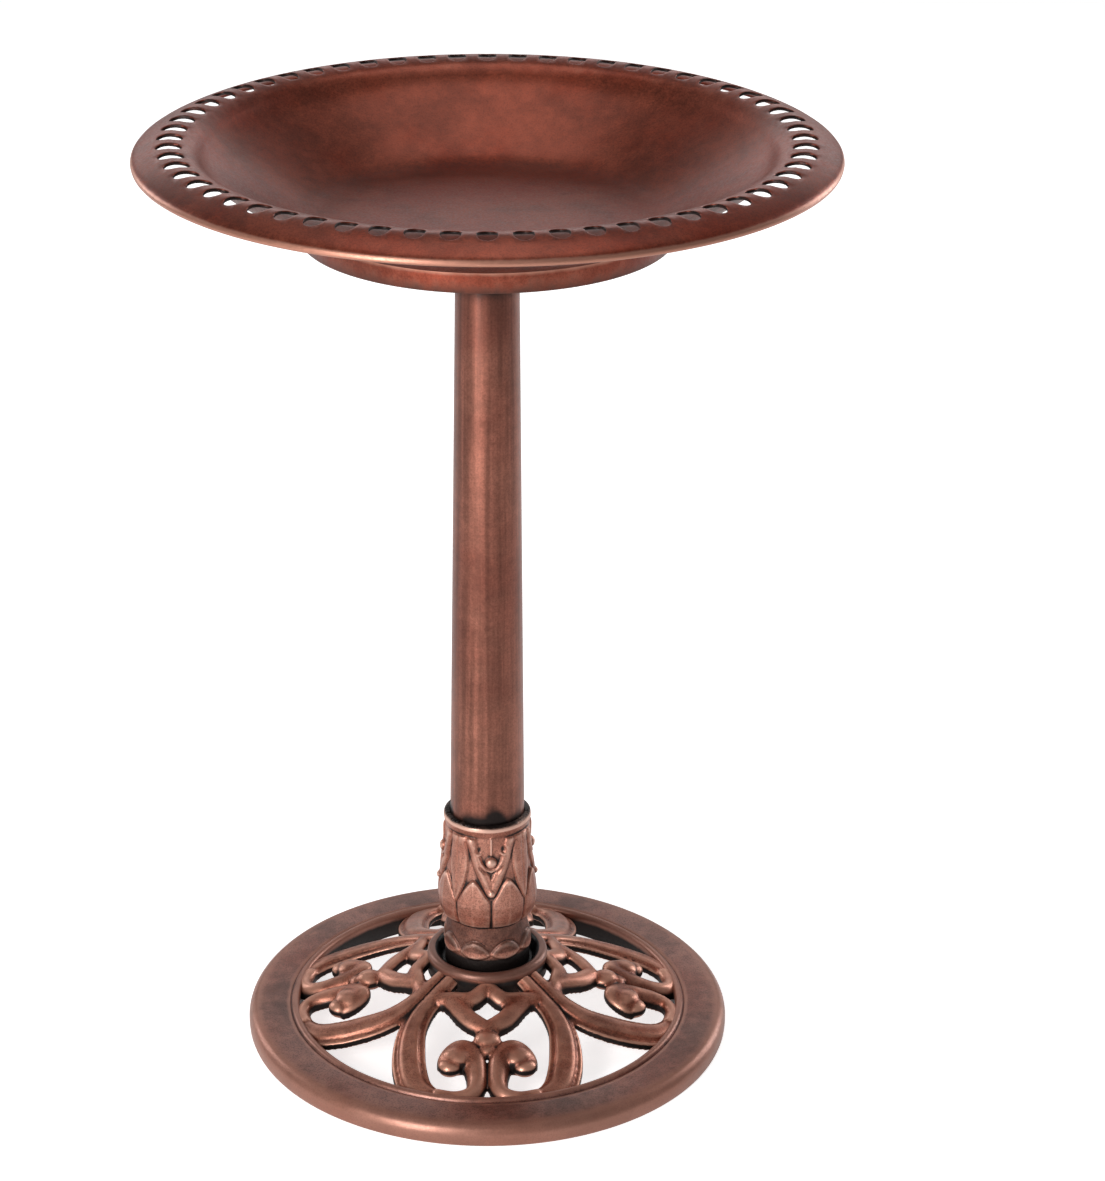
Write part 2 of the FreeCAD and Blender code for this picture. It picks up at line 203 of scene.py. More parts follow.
def build_antique_copper():
    """The paint in three coats: mottled copper, a black wash kept by the hollows and a pale
    rub on what stands out. The amount of black each piece gives also lays painted shade,
    and the rub lays a painted highlight on the bowl's lip."""
    tree = bpy.data.node_groups.new("antique_copper", "ShaderNodeTree")
    for name, kind, value in (
        ("Copper", "NodeSocketColor", (0.185, 0.066, 0.044, 1)),
        ("Red copper", "NodeSocketColor", (0.155, 0.040, 0.026, 1)),
        ("Rubbed", "NodeSocketColor", (0.44, 0.205, 0.145, 1)),
        ("Wash and shade black", "NodeSocketColor", (0.016, 0.010, 0.009, 1)),
        ("Relief", "NodeSocketFloat", 0.0),
        ("Washed", "NodeSocketFloat", 0.0),
        ("Rub", "NodeSocketFloat", 1.0),
        ("Mottle size", "NodeSocketFloat", 11.0),
        ("Streaks", "NodeSocketFloat", 0.0),
        ("Dark clouds", "NodeSocketFloat", 0.5),
        ("Speckle", "NodeSocketFloat", 0.3),
    ):
        tree.interface.new_socket(name=name, in_out="INPUT", socket_type=kind).default_value = value
    for name, kind in (
        ("Color", "NodeSocketColor"),
        ("Roughness", "NodeSocketFloat"),
        ("Height", "NodeSocketFloat"),
    ):
        tree.interface.new_socket(name=name, in_out="OUTPUT", socket_type=kind)
    given = tree.nodes.new("NodeGroupInput").outputs
    where = node(tree, "ShaderNodeTexCoord").outputs["Object"]

    clouds = noise(tree, where, given["Mottle size"], 5.0, Roughness=0.62)
    grain = noise(tree, where, 520.0, 3.0)
    blotches = noise(tree, where, 95.0, 4.0)
    lengthwise = node(tree, "ShaderNodeMapping", {"Vector": where, "Scale": (260.0, 260.0, 7.0)}).outputs[0]
    streaks = noise(tree, lengthwise, 1.0, 4.0)

    coat = mix_colour(tree, ramp_between(tree, clouds, 0.40, 0.66), given["Copper"], given["Red copper"])
    shade = ramp_between(tree, blotches, 0.30, 0.70, 0.90, 1.08)
    shade = math_node(tree, "MULTIPLY", shade, ramp_between(tree, grain, 0.30, 0.72, 0.86, 1.14))
    streak_shade = ramp_between(tree, streaks, 0.32, 0.68, 0.74, 1.22)
    streak_mix = node(tree, "ShaderNodeMix", {0: given["Streaks"], 2: 1.0, 3: streak_shade}).outputs[0]
    shade = math_node(tree, "MULTIPLY", shade, streak_mix)
    drift = noise(tree, where, 16.0, 6.0, Roughness=0.66)
    cloud_shade = ramp_between(tree, drift, 0.44, 0.64, 1.0, 0.42)
    cloud_mix = node(tree, "ShaderNodeMix", {0: given["Dark clouds"], 2: 1.0, 3: cloud_shade}).outputs[0]
    shade = math_node(tree, "MULTIPLY", shade, cloud_mix)
    specks = noise(tree, where, 900.0, 2.0)
    speck_shade = ramp_between(tree, specks, 0.50, 0.62, 1.0, 0.25)
    speck_mix = node(tree, "ShaderNodeMix", {0: given["Speckle"], 2: 1.0, 3: speck_shade}).outputs[0]
    shade = math_node(tree, "MULTIPLY", shade, speck_mix)
    lit = node(tree, "ShaderNodeVectorMath", {0: coat, "Scale": shade}, operation="SCALE")

    uneven = math_node(tree, "MULTIPLY", math_node(tree, "SUBTRACT", blotches, 0.5), 0.55)
    raised = math_node(tree, "ADD", given["Relief"], uneven)
    rub = math_node(tree, "MULTIPLY", ramp_between(tree, raised, 0.10, 0.85), given["Rub"])
    rubbed = mix_colour(tree, rub, lit.outputs[0], given["Rubbed"])
    hollow = ramp_between(tree, raised, -0.12, -0.72)
    # This amount darkens towards the black colour. It lays painted shade on undersides, side walls,
    # recesses and joints between parts, besides the black wash.
    painted = math_node(tree, "ADD", given["Washed"], uneven)
    black = math_node(tree, "MAXIMUM", hollow, ramp_between(tree, painted, 0.15, 0.85))
    colour = mix_colour(tree, black, rubbed, given["Wash and shade black"])

    rough = math_node(tree, "ADD", ramp_between(tree, grain, 0.3, 0.7, 0.34, 0.46),
                      math_node(tree, "MULTIPLY", black, 0.12))
    height = math_node(tree, "ADD", math_node(tree, "MULTIPLY", grain, 0.5), blotches)
    node(tree, "NodeGroupOutput", {"Color": colour, "Roughness": rough, "Height": height})
    return tree


antique_copper = build_antique_copper()


def copper_finish(name, values, metallic=0.6, bump=0.25):
    """One piece's copper paint: the shared coats with that piece's own values."""
    material = bpy.data.materials.new(name)
    material.use_nodes = True
    tree = material.node_tree
    shader = tree.nodes["Principled BSDF"]
    relief = node(tree, "ShaderNodeAttribute", attribute_name="relief").outputs["Fac"]
    # This attribute carries each piece's black wash and its painted shade.
    wash_and_shade = node(tree, "ShaderNodeAttribute", attribute_name="wash_and_shade").outputs["Fac"]
    inputs = {"Relief": relief, "Washed": wash_and_shade, **values}
    coats = node(tree, "ShaderNodeGroup", inputs, node_tree=antique_copper)
    tree.links.new(coats.outputs["Color"], shader.inputs["Base Color"])
    tree.links.new(coats.outputs["Roughness"], shader.inputs["Roughness"])
    bump_inputs = {"Height": coats.outputs["Height"], "Strength": bump, "Distance": 0.25 * MM}
    bumps = node(tree, "ShaderNodeBump", bump_inputs)
    tree.links.new(bumps.outputs["Normal"], shader.inputs["Normal"])
    shader.inputs["Metallic"].default_value = metallic
    shader.inputs["Coat Weight"].default_value = 0.10
    shader.inputs["Coat Roughness"].default_value = 0.22
    return material


def dress(piece, material):
    piece.data.materials.clear()
    piece.data.materials.append(material)


base_copper = copper_finish("base_copper", {
    "Copper": (0.265, 0.122, 0.096, 1),
    "Red copper": (0.215, 0.070, 0.048, 1),
    "Rub": 0.6,
    "Dark clouds": 0.8,
    "Speckle": 0.6,
})

bead_radius = 3.3
ring_outline = [(base_radius - 1.1, 0.0), (base_radius - 0.25, 2.2), (base_radius, 5.0)]
ring_outline += arc((base_radius - 9.5, 7.6), 9.5, 6, 80, 9)
ring_outline += [(base_radius - 11.5, ring_height - 0.3), (base_radius - 15.0, ring_height - 0.1)]
ring_outline += [(base_radius - 19.0, ring_height), (opening_radius + 11.0, ring_height)]
ring_outline += [(opening_radius + 7.6, ring_height - 0.1), (opening_radius + 6.9, ring_height - 1.0)]
ring_outline += arc((opening_radius + bead_radius, ring_height - 1.3), bead_radius, 10, 180, 9)
ring_outline += [(opening_radius, ring_height - 6.0), (opening_radius + 0.4, 0.0)]
ring_outline += [(opening_radius + 4.5, 0.0), (opening_radius + 4.5, ring_height - 5.0)]
ring_outline += [(base_radius - 15.0, ring_height - 4.5)]
ring_outline += [(base_radius - 7.0, ring_height - 8.5), (base_radius - 5.6, 0.0), (base_radius - 1.1, 0.0)]

base_ring = turned("base_ring", ring_outline, 288)
ease_edges(base_ring, 0.5, segments=1)
smooth_shade(base_ring)
note_relief(base_ring, 24, 1.4)
ring_normals = normals_of(base_ring)
ring_places = places_of(base_ring)
ring_reach = np.hypot(ring_places[:, 0], ring_places[:, 1])
# Painted shade: the ring's inner wall, facing the axis below its top, is made near black.
facing_in = -(ring_normals * ring_places).sum(axis=1) / ring_reach
ring_inside_shade = (facing_in > 0.6) & (ring_places[:, 2] < (ring_height - 3.0) * MM)
store(base_ring, "wash_and_shade", np.where(ring_inside_shade, 0.95, 0.0))
dress(base_ring, base_copper)
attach(base_ring, "stand")
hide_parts("base")


# ---------------------------------------------------------------------------------------
# Openwork. Four like motifs of moulded scrolls climb from the ring to the hub: two arms that
# curl in to round bulbs, a bud between them, a chevron and a curved bracket at the hub. Cast
# with the ring, so each melts into the next, and rubbed back to a lighter copper than it.
# ---------------------------------------------------------------------------------------
motif_count = 4
hub_rim_radius = 42.2
hub_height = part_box("base")[1].z / MM

# Points of (across, outward, width) as shares of the opening's radius, from the hub outwards.
arm_line = [(0.160, 0.205, 0.090), (0.215, 0.262, 0.100), (0.290, 0.345, 0.120), (0.350, 0.420, 0.140),
            (0.392, 0.520, 0.155), (0.405, 0.640, 0.172), (0.398, 0.770, 0.175), (0.362, 0.890, 0.165),
            (0.270, 0.965, 0.115), (0.165, 0.985, 0.090)]
curl_line = [(0.270, 0.965, 0.105), (0.165, 0.985, 0.090), (0.085, 0.960, 0.090), (0.054, 0.890, 0.105),
             (0.060, 0.800, 0.120), (0.086, 0.730, 0.150), (0.133, 0.702, 0.172), (0.178, 0.735, 0.160),
             (0.196, 0.785, 0.130)]
chevron_line = [(0.215, 0.355, 0.080), (0.165, 0.405, 0.095), (0.095, 0.495, 0.100), (0.000, 0.560, 0.087),
                (-0.020, 0.570, 0.087)]
bracket_line = [(0.270, 0.345, 0.075), (0.185, 0.368, 0.088), (0.085, 0.380, 0.090), (0.000, 0.315, 0.085)]

# Cross-sections of (share of the half width, height above the underside in mm), left half.
arm_section = [(-1.0, 0.0), (-1.0, 4.8), (-0.95, 5.8), (-0.78, 6.2), (-0.70, 4.6), (-0.64, 6.6),
               (-0.54, 8.6), (-0.36, 9.7), (0.0, 10.2)]
plain_section = [(-1.0, 0.0), (-1.0, 5.0), (-0.86, 7.4), (-0.58, 9.0), (-0.28, 9.7), (0.0, 9.9)]
curl_section = [(-1.0, 0.0), (-1.0, 4.2), (-0.93, 6.4), (-0.76, 8.6), (-0.5, 10.4), (-0.24, 11.3),
                (0.0, 11.6)]


def dome_height(radius):
    """Underside height of the openwork, mm, which steepens towards the hub."""
    near, middle, far = hub_rim_radius, 94.5, opening_radius
    low_near, low_middle, low_far = 48.2, 26.6, 8.2
    return (low_near * (radius - middle) * (radius - far) / ((near - middle) * (near - far))
            + low_middle * (radius - near) * (radius - far) / ((middle - near) * (middle - far))
            + low_far * (radius - near) * (radius - middle) / ((far - near) * (far - middle)))


def smooth_line(points, steps):
    """Points on a smooth line through the given ones (Catmull-Rom), steps to each stretch."""
    given = np.array(points, float)
    given = np.vstack([2 * given[0] - given[1], given, 2 * given[-1] - given[-2]])
    line = []
    for index in range(1, len(given) - 2):
        before, start, end, after = given[index - 1:index + 3]
        bend = 2 * before - 5 * start + 4 * end - after
        twist = 3 * start - before - 3 * end + after
        for step in range(steps):
            t = step / steps
            line.append(0.5 * (2 * start + (end - before) * t + bend * t * t + twist * t ** 3))
    line.append(given[-2])
    return np.array(line)


def scroll_band(points, section, side):
    """Closed moulded band along a line, laid over the dome."""
    line = smooth_line(points, 8) * opening_radius
    middle = np.column_stack([side * line[:, 0], -line[:, 1]])
    along = np.gradient(middle, axis=0)
    along /= np.linalg.norm(along, axis=1)[:, None]
    across = np.column_stack([-along[:, 1], along[:, 0]])
    whole = section + [(-share, height) for share, height in reversed(section[:-1])]
    vertices = []
    for place, sideways, width in zip(middle, across, line[:, 2]):
        for share, height in whole:
            x, y = place + sideways * share * width / 2
            vertices.append((x * MM, y * MM, (dome_height(math.hypot(x, y)) + height) * MM))
    count = len(whole)
    faces = [[row * count + column, row * count + (column + 1) % count,
              (row + 1) * count + (column + 1) % count, (row + 1) * count + column]
             for row in range(len(middle) - 1) for column in range(count)]
    faces.append(list(range(count)))
    faces.append([len(vertices) - count + column for column in range(count)])
    mesh = bpy.data.meshes.new("scroll_band")
    mesh.from_pydata(vertices, [], faces)
    band = bpy.data.objects.new("scroll_band", mesh)
    bpy.context.scene.collection.objects.link(band)
    return band


def boss_on_dome(across, outward, radius, rise, lift):
    """A rounded knob on the openwork, in mm, with its widest part lift above the underside."""
    height = dome_height(math.hypot(across, outward)) + lift
    bpy.ops.mesh.primitive_uv_sphere_add(segments=32, ring_count=20, radius=1.0,
                                         location=(across * MM, -outward * MM, height * MM))
    bpy.context.object.scale = (radius * MM, radius * MM, rise * MM)
    return bpy.context.object


def join(pieces, name):
    bpy.ops.object.select_all(action="DESELECT")
    for piece in pieces:
        piece.select_set(True)
    bpy.context.view_layer.objects.active = pieces[0]
    bpy.ops.object.join()
    joined = bpy.context.object
    joined.name = name
    joined.data.name = name
    bpy.ops.object.transform_apply(location=True, rotation=True, scale=True)
    return joined


motif_parts = []
for side in (1, -1):
    for line, section in (
        (arm_line, arm_section),
        (curl_line, curl_section),
        (chevron_line, plain_section),
        (bracket_line, plain_section),
    ):
        motif_parts.append(scroll_band(line, section, side))
    motif_parts.append(boss_on_dome(side * 22.0, 105.5, 12.4, 7.6, 5.6))
    motif_parts.append(boss_on_dome(side * 28.0, 113.5, 9.4, 6.8, 5.0))
motif_parts.append(boss_on_dome(0.0, 91.5, 10.6, 7.0, 4.6))
motif_parts.append(boss_on_dome(0.0, 100.0, 7.8, 5.8, 4.6))
motif = join(motif_parts, "scroll_motif")
bpy.ops.object.mode_set(mode="EDIT")
bpy.ops.mesh.select_all(action="SELECT")
bpy.ops.mesh.normals_make_consistent(inside=False)
bpy.ops.object.mode_set(mode="OBJECT")

motifs = [motif]
for turn in range(1, motif_count):
    choose(motif)
    bpy.ops.object.duplicate()
    motifs.append(bpy.context.object)
    motifs[-1].rotation_euler = (0, 0, turn * math.tau / motif_count)
openwork = join(motifs, "openwork")
remesh = openwork.modifiers.new("cast_as_one", "REMESH")
remesh.mode = "VOXEL"
remesh.voxel_size = 1.1 * MM
soften = openwork.modifiers.new("soft_corners", "SMOOTH")
soften.factor = 0.5
soften.iterations = 2
apply_modifiers(openwork)
smooth_shade(openwork, 80)
note_relief(openwork, 45, 1.3)
# Painted shade: the steep sides of the scrolls are made darker than their tops.
side_wall_shade = 1 - np.abs(normals_of(openwork)[:, 2])
store(openwork, "wash_and_shade", np.clip((side_wall_shade - 0.38) * 2.2, 0, 1.0))
scroll_copper = copper_finish("scroll_copper", {
    "Copper": (0.44, 0.172, 0.112, 1),
    "Red copper": (0.37, 0.112, 0.066, 1),
    "Rubbed": (0.62, 0.31, 0.22, 1),
    "Dark clouds": 0.7,
    "Speckle": 0.5,
}, metallic=0.7)
dress(openwork, scroll_copper)
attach(openwork, "stand")


# ---------------------------------------------------------------------------------------
# Hub. A beaded dish of the same cast resin in the middle of the base. The column and its
# collar stand on the seat inside it. The channel round them and the skirt under the bead
# get painted shade: they are made black.
# ---------------------------------------------------------------------------------------
seat_height = 54.0
seat_underside = seat_height - 6.0
channel_height = 51.5
bolt_hole = 5.5
hub_bead = 4.4
hub_skirt = hub_height - 19.0
hub_wall_inside = 40.7
hub_outline = [(bolt_hole, seat_underside), (bolt_hole, seat_height), (20.0, seat_height)]
hub_outline += [(34.6, seat_height), (34.9, channel_height + 0.4), (35.3, channel_height)]
hub_outline += [(36.6, channel_height), (37.1, channel_height + 1.0)]
hub_outline += arc((hub_rim_radius, hub_height - hub_bead), hub_bead, 175, 0, 10)
hub_outline += [(46.4, hub_height - 8.0), (45.4, hub_height - 9.5), (45.4, hub_height - 12.0)]
hub_outline += [(46.4, hub_skirt), (hub_wall_inside, hub_skirt)]
hub_outline += [(hub_wall_inside, seat_underside), (bolt_hole, seat_underside)]
hub = turned("base_hub", hub_outline, 160)
smooth_shade(hub)
note_relief(hub, 14, 1.0)
hub_places = places_of(hub)
hub_reach = np.hypot(hub_places[:, 0], hub_places[:, 1]) / MM
# Painted shade: the channel round the collar is made black, the skirt under the bead dark.
channel_shade = (hub_reach < 40.2) & (hub_places[:, 2] / MM > 49.0)
below_bead_shade = (hub_reach > 41.0) & (hub_places[:, 2] / MM < hub_height - 6.5)
store(hub, "wash_and_shade", np.where(channel_shade, 1.0, 0.0) + np.where(below_bead_shade, 0.75, 0.0))
hub_copper = copper_finish("hub_copper", {
    "Copper": (0.105, 0.048, 0.038, 1),
    "Red copper": (0.085, 0.034, 0.026, 1),
    "Wash and shade black": (0.010, 0.009, 0.009, 1),
    "Rub": 0.35,
})
dress(hub, hub_copper)
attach(hub, "stand")


# ---------------------------------------------------------------------------------------
# Leaf collar. A cast-resin sleeve slid over the foot of the column: a rolled lip, four panels
# with two curls, a bead and a V of ribbons, hanging leaves between them, eight petals, and a
# sandy neck with small leaf tips.
# ---------------------------------------------------------------------------------------
collar_low, collar_high = (corner.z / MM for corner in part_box("leaf_collar"))
panel = math.tau / 4
collar_turn = math.radians(5)
collar_columns = 384
collar_rows = 190
carving_radius = 35.0   # where the carving is laid out, mm from the axis
half_panel = 27.5       # from the middle of a panel to the middle of a hanging leaf, mm

# Body outline of (height above the floor, radius) in mm.
collar_body = [(54.0, 32.7), (64.0, 32.7), (70.0, 32.5), (80.0, 31.7), (90.0, 30.9), (94.5, 30.6),
               (96.2, 30.9), (98.5, 32.6), (103.0, 34.6), (109.0, 35.9), (116.0, 36.2), (124.0, 35.4),
               (133.0, 34.2), (142.0, 33.5), (152.0, 32.7), (162.0, 32.4), (170.0, 32.5), (173.6, 32.1),
               (175.4, 32.6), (179.0, 33.4), (181.6, 33.0), (183.0, 31.4)]


def bump_shape(distance, half_width, edge):
    """1 inside a band, falling smoothly to 0 over the edge."""
    share = np.clip((half_width - distance) / edge + 0.5, 0, 1)
    return share ** 2 * (3 - 2 * share)


def round_from_panel(places):
    """Distance in mm round the collar from the middle of the nearest panel."""
    angle = np.arctan2(places[:, 0], -places[:, 1]) - collar_turn
    return ((angle + panel / 2) % panel - panel / 2) * carving_radius


def distance_to_line(s, h, points):
    """Distance in mm from each place to a line of straight runs."""
    nearest = np.full(s.shape, 1e9)
    for (s0, h0), (s1, h1) in zip(points[:-1], points[1:]):
        run = np.array([s1 - s0, h1 - h0])
        t = np.clip(((s - s0) * run[0] + (h - h0) * run[1]) / (run @ run), 0, 1)
        nearest = np.minimum(nearest, np.hypot(s - s0 - t * run[0], h - h0 - t * run[1]))
    return nearest


def collar_relief(s, h):
    """How far the carving stands out of the body, in mm. s is the distance round the collar
    from the middle of a panel and h the height above the floor."""
    half_petal = half_panel / 2
    mirrored = np.abs(s)
    relief = np.zeros(s.shape)

    petal_across = np.abs(mirrored - half_petal) / half_petal
    petal_top = 138 - 20 * petal_across ** 1.4
    in_petals = bump_shape(h - petal_top, 0.0, 2.4) * bump_shape(97.0 - h, 0.0, 2.5)
    petal_rib = 0.35 * np.exp(-(petal_across * half_petal / 1.6) ** 2)
    petal = 2.3 * np.sqrt(np.clip(1 - petal_across ** 3.2, 0, 1)) + petal_rib
    relief = np.maximum(relief, petal * in_petals)
    groove = np.exp(-((1 - petal_across) * half_petal / 0.8) ** 2) * bump_shape(h - 126, 0.0, 6.0)
    relief = relief - 1.6 * groove * bump_shape(96.0 - h, 0.0, 3.0)
    relief = relief - 0.5 * np.exp(-((h - petal_top - 1.3) / 1.0) ** 2) * (h > 110)

    leaf_distance = half_panel - mirrored
    leaf_half = np.interp(h, [118, 123, 132, 146, 162, 172], [0.0, 2.4, 5.6, 8.4, 8.8, 7.2])
    in_leaf = bump_shape(leaf_distance - leaf_half, 0.0, 1.6) * bump_shape(h - 173.5, 0.0, 1.5) * (h > 117)
    leaf = 1.5 + 0.9 * (1 - np.clip(leaf_distance / np.maximum(leaf_half, 0.5), 0, 1) ** 2)
    leaf = leaf - 0.45 * np.exp(-(leaf_distance / 1.0) ** 2)
    relief = np.where(in_leaf > 0, np.maximum(relief * (1 - in_leaf), leaf * in_leaf), relief)
    relief = relief - 0.6 * np.exp(-((leaf_distance - leaf_half - 1.1) / 0.8) ** 2) * (h > 120) * (h < 173)

    v_line = [(17.5, 175), (14.5, 164), (10.0, 150), (4.5, 138), (0.0, 129)]
    ribbon = distance_to_line(mirrored, h, v_line)
    in_ribbon = bump_shape(ribbon, 4.0, 2.0) * bump_shape(h - 173.0, 0.0, 2.0)
    fluted = 1.9 + 0.5 * np.cos(ribbon * 0.8)
    relief = np.where(in_ribbon > 0, relief * (1 - in_ribbon) + in_ribbon * fluted, relief)
    relief = relief - 0.7 * np.exp(-((ribbon - 5.0) / 0.8) ** 2) * (h < 170) * (mirrored > 3)

    inner = distance_to_line(mirrored, h, [(7.5, 150), (3.5, 144), (0.0, 136)])
    relief = np.maximum(relief, 1.6 * bump_shape(inner, 1.2, 1.4) * (h > 132))
    moustache = distance_to_line(mirrored, h, [(11.0, 158), (8.4, 152.5), (5.0, 149.0), (0.0, 147)])
    relief = np.maximum(relief, 2.1 * bump_shape(moustache, 1.5, 1.4))
    under_moustache = distance_to_line(mirrored, h, [(9.0, 149.5), (5.0, 146.0), (0.0, 144.0)])
    relief = relief - 0.8 * np.exp(-(under_moustache / 0.9) ** 2)
    ridge = distance_to_line(mirrored, h, [(0.0, 160), (0.0, 173)])
    relief = np.maximum(relief, 1.5 * bump_shape(ridge, 1.0, 1.6))

    curl = np.hypot(mirrored - 10.6, h - 163.5)
    hook = np.clip(0.5 + 0.8 * (mirrored - 9.6) / 4 - 0.5 * (h - 164) / 5, 0, 1)
    relief = np.maximum(relief, 2.3 * bump_shape(np.abs(curl - 3.4), 1.5, 1.6) * hook)
    relief = relief - 2.4 * np.exp(-((mirrored - 10.0) / 1.3) ** 2 - ((h - 164.6) / 2.4) ** 2)
    bead = np.hypot(s, h - 153.5)
    relief = np.maximum(relief, 4.0 * np.sqrt(np.clip(1 - (bead / 4.6) ** 2, 0, 1)))
    relief = relief - 0.9 * np.exp(-((bead - 5.3) / 0.7) ** 2)
    drop = np.hypot(s, (h - 128.5) * 0.9)
    relief = np.maximum(relief, 4.2 * np.sqrt(np.clip(1 - (drop / 3.1) ** 2, 0, 1)))

    tip_top = 82.5 - 9.0 * petal_across ** 2.0
    tip_foot = 68.5 + 4.0 * petal_across ** 2.0
    in_tip = bump_shape(h - tip_top, 0.0, 1.6) * bump_shape(tip_foot - h, 0.0, 2.4)
    tip_swell = 0.3 * np.exp(-((h - tip_top + 3.0) / 1.8) ** 2)
    tip = 1.7 * np.sqrt(np.clip(1 - petal_across ** 2.4, 0, 1)) + tip_swell
    relief = np.maximum(relief, in_tip * tip)
    relief = relief - 0.4 * np.exp(-((h - tip_top - 1.2) / 0.9) ** 2) * (h < 86)
    return relief


bpy.ops.object.select_all(action="DESELECT")
bpy.ops.mesh.primitive_cylinder_add(
    vertices=collar_columns, radius=30 * MM, depth=(collar_high - collar_low) * MM,
    end_fill_type="NOTHING", location=(0, 0, (collar_high + collar_low) / 2 * MM))
collar = bpy.context.object
collar.name = "leaf_collar_cast"
collar.data.name = "leaf_collar_cast"
bpy.ops.object.transform_apply(location=True, rotation=True, scale=True)
bpy.ops.object.mode_set(mode="EDIT")
for row in range(1, collar_rows):
    height = collar_low + (collar_high - collar_low) * row / collar_rows
    bpy.ops.mesh.select_all(action="SELECT")
    bpy.ops.mesh.bisect(plane_co=(0, 0, height * MM), plane_no=(0, 0, 1))
bpy.ops.object.mode_set(mode="OBJECT")

collar_places = places_of(collar)
collar_heights = collar_places[:, 2] / MM
body_heights, body_radii = zip(*collar_body)
body = np.interp(collar_heights, body_heights, body_radii)
carved = body + collar_relief(round_from_panel(collar_places), collar_heights)
sand = np.random.default_rng(7).normal(0, 0.07, len(carved))
sandy = (collar_heights > 60) & (collar_heights < 96)
carved = carved + np.where(sandy, sand, 0.15 * sand)
collar_reach = np.hypot(collar_places[:, 0], collar_places[:, 1])
collar_places[:, :2] *= (carved * MM / collar_reach)[:, None]
collar.data.vertices.foreach_set("co", collar_places.astype(np.float32).ravel())
collar.data.update()

collar_bore_low = 30.1
collar_bore_high = 28.7
near = 0.05 * MM
for height, bore in ((collar_high, collar_bore_high), (collar_low, collar_bore_low)):
    bpy.ops.object.select_all(action="DESELECT")
    bpy.context.view_layer.objects.active = collar
    for edge in collar.data.edges:
        places = [collar.data.vertices[index].co for index in edge.vertices]
        edge.select = all(abs(place.z - height * MM) < near for place in places)
    bpy.ops.object.mode_set(mode="EDIT")
    bpy.ops.mesh.select_mode(type="EDGE")
    bpy.ops.mesh.extrude_edges_move()
    bpy.ops.object.mode_set(mode="OBJECT")
    for vertex in collar.data.vertices:
        if vertex.select:
            out = math.hypot(vertex.co.x, vertex.co.y)
            vertex.co.x *= bore * MM / out
            vertex.co.y *= bore * MM / out
collar.data.update()
for edge in collar.data.edges:
    places = [collar.data.vertices[index].co for index in edge.vertices]
    inner = all(math.hypot(place.x, place.y) < collar_bore_low * MM + near for place in places)
    edge.select = inner and abs(places[0].z - places[1].z) < near
choose(collar)
bpy.ops.object.mode_set(mode="EDIT")
bpy.ops.mesh.bridge_edge_loops()
bpy.ops.mesh.select_all(action="SELECT")
bpy.ops.mesh.normals_make_consistent(inside=False)
bpy.ops.object.mode_set(mode="OBJECT")
smooth_shade(collar, 80)
note_relief(collar, 44, 1.25)
collar_places = places_of(collar)
collar_heights = collar_places[:, 2] / MM
# Painted shade, laid on as black: the neck under the petals, the foot down in the hub, the feet of the
# petals, the hollows of the curls, the groove between petal pairs and the mouth where the column enters.
neck_shade = 0.54 * np.clip((97 - collar_heights) / 3, 0, 1) * np.clip((collar_heights - 72) / 3, 0, 1)
foot_shade = 0.95 * np.clip((72 - collar_heights) / 5, 0, 1)
petal_foot_shade = 0.40 * np.clip((106 - collar_heights) / 9, 0, 1) * (collar_heights > 95)
from_middle = np.abs(round_from_panel(collar_places))
hook_shade = 0.9 * np.exp(-((from_middle - 9.6) / 1.7) ** 2 - ((collar_heights - 164.4) / 2.8) ** 2)
groove_shade = 0.9 * np.exp(-(from_middle / 1.0) ** 2) * (collar_heights > 95) * (collar_heights < 122)
mouth_shade = 0.8 * np.clip((collar_heights - 180.5) / 2, 0, 1)
store(collar, "wash_and_shade", neck_shade + foot_shade + petal_foot_shade + hook_shade + groove_shade + mouth_shade)
collar_copper = copper_finish("collar_copper", {
    "Copper": (0.47, 0.205, 0.145, 1),
    "Red copper": (0.33, 0.110, 0.070, 1),
    "Rubbed": (0.70, 0.42, 0.33, 1),
    "Mottle size": 20.0,
    "Dark clouds": 0.2,
    "Speckle": 0.5,
}, bump=0.2)
dress(collar, collar_copper)
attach(collar, "stand")
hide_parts("leaf_collar")


# ---------------------------------------------------------------------------------------
# Column. A slim tapered resin tube, painted like the rest but brushed lengthwise. Painted
# shade darkens it where it enters the collar and under the bowl.
# ---------------------------------------------------------------------------------------
column_low, column_high = (corner.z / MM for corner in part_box("column_tube"))
column_radius_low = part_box("column_tube")[1].x / MM
column_radius_high = 22.9
column_wall = 3.0


def column_radius(height):
    share = (height - column_low) / (column_high - column_low)
    return column_radius_low + share * (column_radius_high - column_radius_low)


column_rows = 96
column_outline = [(column_radius_low - column_wall, column_low), (column_radius_low, column_low)]
for row in range(1, column_rows):
    row_height = column_low + (column_high - column_low) * row / column_rows
    column_outline.append((column_radius(row_height), row_height))
column_outline += [(column_radius_high - 0.2, column_high - 0.6), (column_radius_high - 0.8, column_high)]
column_outline += [(column_radius_high - column_wall, column_high)]
column_outline += [(column_radius_low - column_wall, column_low)]
column = turned("column", column_outline, 144)
smooth_shade(column)
note_relief(column, 4, 2.0)
column_places = places_of(column)
column_heights = column_places[:, 2] / MM
column_angles = np.arctan2(column_places[:, 0], -column_places[:, 1])
